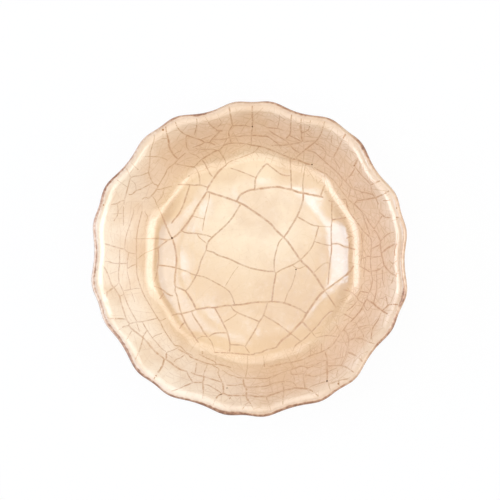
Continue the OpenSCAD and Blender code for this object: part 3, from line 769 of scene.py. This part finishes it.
def clay_material(name, low, high, grit):
    """Fired clay: two tones clouded together, dark grit, and a rough grain."""
    m, t = new_tree(name)
    where = add(t, "TexCoord").outputs["Object"]
    tone = mix(t, spread(t, noise(t, where, 160, 5), 0.35, 0.68), low, high)
    tone = mix(t, spread(t, noise(t, where, 2600, 2), 0.64, 0.72, 0, 0.8), tone, grit)
    normal = relief(t, noise(t, where, 2400, 4), strength=0.35, distance=0.0003)
    shader = add(t, "BsdfPrincipled", Base_Color=tone, Roughness=0.85, Normal=normal)
    add(t, "OutputMaterial", Surface=shader.outputs[0])
    return m


def floor_material():
    """White paper that shows white to the camera and keeps a faint shadow."""
    m, t = new_tree("white_paper")
    share = spread(t, add(t, "LightPath").outputs["Is Camera Ray"], 0, 1, 0, PAPER_GLOW)
    paper = add(t, "BsdfDiffuse", Color=(0.8, 0.8, 0.8, 1)).outputs[0]
    glow = add(t, "Emission", Color=(1, 1, 1, 1), Strength=1.0).outputs[0]
    add(t, "OutputMaterial", Surface=add(t, "MixShader", share, paper, glow).outputs[0])
    return m


FACE_MATERIAL = glaze_material("cream_glaze_thin_at_lip", "brown", LIP_BROWN, LIP_DARK, dark_from=0.62,
                               patchy=0.22, matt=0.3)
COAT_MATERIAL = glaze_material("cream_glaze")
CRACK_MATERIAL = glaze_material("stained_crack", "stain", CRACK_BROWN, PIT_BROWN, dark_from=1.15, patchy=0.25,
                                matt=0.5)
PIT_MATERIAL = glaze_material("dark_pinhole", "stain", CRACK_BROWN, PIT_BROWN, dark_from=0.9, patchy=0.1,
                              matt=0.8, shine=0)
FOOT_MATERIAL = clay_material("bare_stoneware", (0.34, 0.20, 0.13), (0.50, 0.33, 0.22), (0.12, 0.07, 0.05))
CLAY_MATERIAL = clay_material("buff_stoneware", (0.52, 0.38, 0.26), (0.68, 0.54, 0.40), (0.30, 0.20, 0.13))

# Pieces, on which edges sharper than an angle stay sharp
SHARP_ANGLE = np.radians(38)


def carried_round(rows, around, on_axis):
    """Points and faces of a section carried round the lobes. The section lists its rows anticlockwise, and one that
    starts and ends on the axis closes there with two fans."""
    ring = rows[1:-1] if on_axis else rows
    m = len(ring)
    a = np.linspace(0, 2 * np.pi, around, endpoint=False)[:, None]
    r = ring[:, 0] + stand_out(a, ring[:, 2], ring[:, 3])
    points = polar(r, a, np.broadcast_to(ring[:, 1], r.shape)).reshape(-1, 3)
    here = np.arange(around)[:, None] * m
    there = (np.arange(around)[:, None] + 1) % around * m
    k = np.arange(m - 1 if on_axis else m)
    up = (k + 1) % m
    faces = np.stack([here + k, there + k, there + up, here + up], -1).reshape(-1, 4).tolist()
    if on_axis:
        first = np.full(around, len(points))
        here, there = here[:, 0], there[:, 0]
        points = np.concatenate([points, [[0, 0, rows[0, 1]], [0, 0, rows[-1, 1]]]])
        faces += np.stack([first, there, here], 1).tolist()
        faces += np.stack([first + 1, here + m - 1, there + m - 1], 1).tolist()
    return points, faces


def make_piece(name, points, faces, material, node, slot, **measures):
    """A smooth piece from points in millimetres, with sharp edges kept and measures stored on its points."""
    mesh = bpy.data.meshes.new(name)
    mesh.from_pydata((points * MM).tolist(), [], faces)
    for key, values in measures.items():
        mesh.attributes.new(key, "FLOAT", "POINT").data.foreach_set("value", values.astype(np.float32))
    mesh.shade_smooth()
    mesh.set_sharp_from_angle(angle=SHARP_ANGLE)
    mesh.materials.append(material)
    piece = bpy.data.objects.new(name, mesh)
    bpy.context.scene.collection.objects.link(piece)
    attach(piece, "root")
    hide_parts(node)


def make_round(name, rows, around, on_axis, material, node, slot):
    """A piece that is a section carried round the lobes."""
    make_piece(name, *carried_round(rows, around, on_axis), material, node, slot)


def make_cracks(name, routes, lie, node, dip=False):
    """A piece that fills the cracks of a node's glaze."""
    points, faces, stain = crack_fill(routes, lie, dip)
    make_piece(name, points, faces, CRACK_MATERIAL, node, "crackle_glaze", stain=stain)


# Facets round each piece, and round the lip's outer and inner half rounds
FACE_AROUND, LIP_AROUND, BACK_AROUND, FOOT_AROUND = 600, 1200, 480, 240
LIP_STEPS, LIP_IN_STEPS = 26, 10

# Glazed face, from the middle of the well to the lip. Its underside takes fewer rows, and only its top is uneven.
UNDER_EVERY, TOP_WITHIN = 6, 0.2
face = face_section(*FACE_STEPS)
face_under = rows_below(np.concatenate([face[::UNDER_EVERY], face[-1:]]), GLAZE_T)
face_points, face_faces = carried_round(np.concatenate([face_under, rows_below(face[::-1], 0)]), FACE_AROUND, True)
face_x, face_y, face_z = face_points.T
rise = unevenness(face_x, face_y)
top = face_z > face_height(face_x, face_y) - rise - TOP_WITHIN
face_points[:, 2] += np.where(top, rise, 0)
make_piece("glazed_face", face_points, face_faces, FACE_MATERIAL, "face_glaze", "crackle_glaze",
           brown=lip_brown(face_points))

# Brown band round the lip
lip_inside = lip_round(CLAY_LIP / 2, LIP_IN_STEPS)
lip_rows = np.concatenate([lip_round(LIP_T / 2, LIP_STEPS)[::-1], lip_inside])
lip_points, lip_faces = carried_round(lip_rows, LIP_AROUND, False)
make_piece("brown_lip", lip_points, lip_faces, FACE_MATERIAL, "lip_dressing", "brown_lip", brown=lip_brown(lip_points))

# Cracks and pinholes of the face. A crack's pixels are taken at their middles.
PIXEL_MIDDLE = 0.5
crack_routes = [(width, strength * (STAIN_LEAST + STAIN_BY_WIDTH * width),
                 onto_dish(np.array(px, float).reshape(-1, 2) + PIXEL_MIDDLE))
                for strength, cracks in STAINED for width, lines in cracks.items() for px in lines]
make_cracks("face_cracks", crack_routes, over_face, "face_glaze", dip=True)
pit_points, pit_faces, pit_stain = pinhole_fill(PINHOLES)
make_piece("face_pinholes", pit_points, pit_faces, PIT_MATERIAL, "face_glaze", "crackle_glaze", stain=pit_stain)

# Fine crazing between the cracks: small cells on the wall, larger and fainter ones in the well
WALL_MEAN_R = 38.0
FINE_WELL_R, FINE_WALL_R, DISC_SIDES = 29.5, 45.8, 24
disc = ring_of(DISC_SIDES)


def round_the_dish(low, high):
    """An outline once round the dish at the wall's mean radius, from one way up to another."""
    turn = 2 * np.pi * WALL_MEAN_R
    return [(0, low), (turn, low), (turn, high), (0, high)]


def up_the_wall(line):
    """Places on the wall from the way round it at its mean radius and the way out from the axis."""
    a = line[:, 0] / WALL_MEAN_R
    return polar(line[:, 1] + stand_out(a, *shares(line[:, 1])), a, a)[:, :2]


fine_routes = crazing(round_the_dish(FINE_WELL_R, FINE_WALL_R), area=2.8, seed=21, width=0.17, strength=0.275,
                      wander=0.08, to_place=up_the_wall, flat=1.5, more_at=(0.3, 0.1))
fine_routes += crazing(FINE_WELL_R * disc, area=15, seed=22, width=0.18, strength=0.13, wander=0.25)
make_cracks("fine_crazing", fine_routes, over_face, "face_glaze")

# Glazed back: under the wall and down the foot ring's outer side, which it clears. Its cracks, and the base's, are a
# coarse and a fine net that keep off the edges.
FOOT_CLEAR, WALL_PAST_CORNER = 0.02, 0.5
DOWN_ROWS, LEDGE_ROWS, BASE_ROWS = 10, 4, 24
BACK_MARGIN, BASE_MARGIN = 0.4, 0.3
COARSE_NET = dict(area=30, width=0.26, strength=0.62)
FINE_NET = dict(width=0.18, strength=0.3)
wall_face = face[face[:, 0] > CORNER_X + WALL_PAST_CORNER]
clay_thick = CLAY_FLOOR + (CLAY_LIP - CLAY_FLOOR) * way_up(wall_face[:, 0])
back_in = rows_below(wall_face, GLAZE_T + clay_thick)
down = np.linspace(BARE_H, COAT_Z, DOWN_ROWS)
ledge = np.linspace(foot_outer(FOOT_H) + 2 * GLAZE_T, CORNER_X, LEDGE_ROWS)
back_out = np.concatenate([plain(foot_outer(down) + GLAZE_T + FOOT_CLEAR, down), plain(ledge, COAT_Z),
                           rows_below(wall_face, GLAZE_T + clay_thick + GLAZE_T)])
back_foot = plain([CORNER_X, foot_outer(FOOT_H) + FOOT_CLEAR, foot_outer(BARE_H) + FOOT_CLEAR],
                  [FOOT_H, FOOT_H, BARE_H])
back_rows = np.concatenate([back_out, back_in[::-1], back_foot])
make_round("glazed_back", back_rows, BACK_AROUND, False, COAT_MATERIAL, "back_glaze", "crackle_glaze")
back_lie, back_way = over_rows(back_out, WALL_MEAN_R)
back_box = round_the_dish(BACK_MARGIN, back_way - BACK_MARGIN)
back_routes = crazing(back_box, seed=31, wander=0.26, **COARSE_NET)
back_routes += crazing(back_box, area=8, seed=32, wander=0.16, **FINE_NET)
make_cracks("back_cracks", back_routes, back_lie, "back_glaze")

# Glaze in the hollow of the foot ring
base_r = foot_inner(FOOT_H) - GLAZE_T
base_edge = plain([foot_inner(BARE_H) - GLAZE_T, foot_inner(BARE_H), foot_inner(FOOT_H), 0],
                  [BARE_H, BARE_H, FOOT_H, FOOT_H])
base_rows = np.concatenate([plain(np.linspace(0, base_r, BASE_ROWS), COAT_Z), base_edge])
make_round("glazed_base", base_rows, FOOT_AROUND, True, COAT_MATERIAL, "base_glaze", "crackle_glaze")
base_disc = (base_r - BASE_MARGIN) * disc
base_routes = crazing(base_disc, seed=41, wander=0.12, **COARSE_NET)
base_routes += crazing(base_disc, area=9, seed=42, wander=0.08, **FINE_NET)
make_cracks("base_cracks", base_routes, under_base, "base_glaze")

# Foot ring of bare clay
foot_rows = plain([foot_inner(FOOT_H), foot_inner(FOOT_BREAK), foot_inner(0) + FOOT_BREAK,
                   foot_outer(0) - FOOT_BREAK, foot_outer(FOOT_BREAK), foot_outer(FOOT_H)],
                  [FOOT_H, FOOT_BREAK, 0, 0, FOOT_BREAK, FOOT_H])
make_round("bare_foot", foot_rows, FOOT_AROUND, False, FOOT_MATERIAL, "foot_ring", "bare_clay")

# Pressed clay inside the coats
clay_rows = np.concatenate([plain([0, foot_outer(FOOT_H), CORNER_X], FOOT_H), back_in, lip_inside[-2:0:-1],
                            face_under[::-1]])
make_round("pressed_clay", clay_rows, BACK_AROUND, True, CLAY_MATERIAL, "clay_body", "clay")

# Floor
floor_mesh = bpy.data.meshes.new("floor")
floor_mesh.from_pydata([(-3, -3, 0), (3, -3, 0), (3, 3, 0), (-3, 3, 0)], [], [(0, 1, 2, 3)])
floor_mesh.materials.append(floor_material())
floor = bpy.data.objects.new("floor", floor_mesh)
bpy.context.scene.collection.objects.link(floor)

# Lights
SKY_STRENGTH = 0.22
COOL = (0.92, 1.0, 1.14)
COOLER = (0.82, 1.0, 1.5)
BLUE = (0.45, 0.72, 1.0)
WARM = (1.0, 0.96, 0.90)
world = bpy.data.worlds.new("studio")
world.use_nodes = True
bpy.context.scene.world = world
sky = world.node_tree.nodes["Background"]
sky.inputs["Color"].default_value = (1, 1, 1, 1)
sky.inputs["Strength"].default_value = SKY_STRENGTH


def panel(name, azimuth, lean, across, along, far, radiance, tint=(1, 1, 1), diffuse=True, glossy=True):
    """A soft light panel that faces the dish, from an azimuth off +X and a lean off straight up, in degrees.
    Its size is given by the angles that it covers from the dish, up and down and round."""
    light = bpy.data.lights.new(name, "AREA")
    light.shape = "RECTANGLE"
    light.size = 2 * far * np.tan(np.radians(across / 2))
    light.size_y = 2 * far * np.tan(np.radians(along / 2))
    light.energy = radiance * np.pi * light.size * light.size_y
    light.color = tint
    lamp = bpy.data.objects.new(name, light)
    a, b = np.radians(azimuth), np.radians(lean)
    lamp.location = polar(far * np.sin(b), a, far * np.cos(b))
    lamp.rotation_euler = (0, b, a)
    lamp.visible_diffuse = diffuse
    lamp.visible_glossy = glossy
    bpy.context.scene.collection.objects.link(lamp)


panel("overhead_diffuser", 62, 8, 70, 70, 1.2, 1.85, glossy=False)
panel("right_softbox", -12, 66, 36, 50, 0.8, 2.55, COOL, glossy=False)
panel("left_softbox", 174, 66, 36, 50, 0.8, 2.8, COOLER, glossy=False)
panel("right_window", -2, 45, 30, 36, 0.8, 3.4, diffuse=False)
panel("right_window_side", -2, 47, 48, 62, 0.9, 2.6, diffuse=False)
panel("left_window", 192, 58, 26, 40, 0.8, 3.4, diffuse=False)
panel("left_window_side", 192, 58, 42, 62, 0.9, 2.4, diffuse=False)
panel("middle_overhead", 102, 1.7, 9, 9, 0.9, 4.4, BLUE, diffuse=False)
panel("left_overhead", 186, 12.2, 10.5, 4.5, 0.9, 9.0, BLUE, diffuse=False)
panel("far_window", 90, 38, 40, 44, 0.8, 1.9, diffuse=False)
panel("near_window", 270, 36, 40, 60, 0.8, 1.9, WARM, diffuse=False)

# Camera
SENSOR_MM = 36
camera_data = bpy.data.cameras.new("camera")
camera_data.sensor_width = SENSOR_MM
camera_data.lens = SENSOR_MM * CAMERA_FAR / (PHOTO_PX * RIM_MM_PER_PX)
camera_data.clip_end = 10
camera = bpy.data.objects.new("camera", camera_data)
camera.location = EYE * MM
camera.rotation_euler = (0, CAMERA_LEAN, 0)
bpy.context.scene.collection.objects.link(camera)
bpy.context.scene.camera = camera
bpy.context.scene.view_settings.view_transform = "Standard"
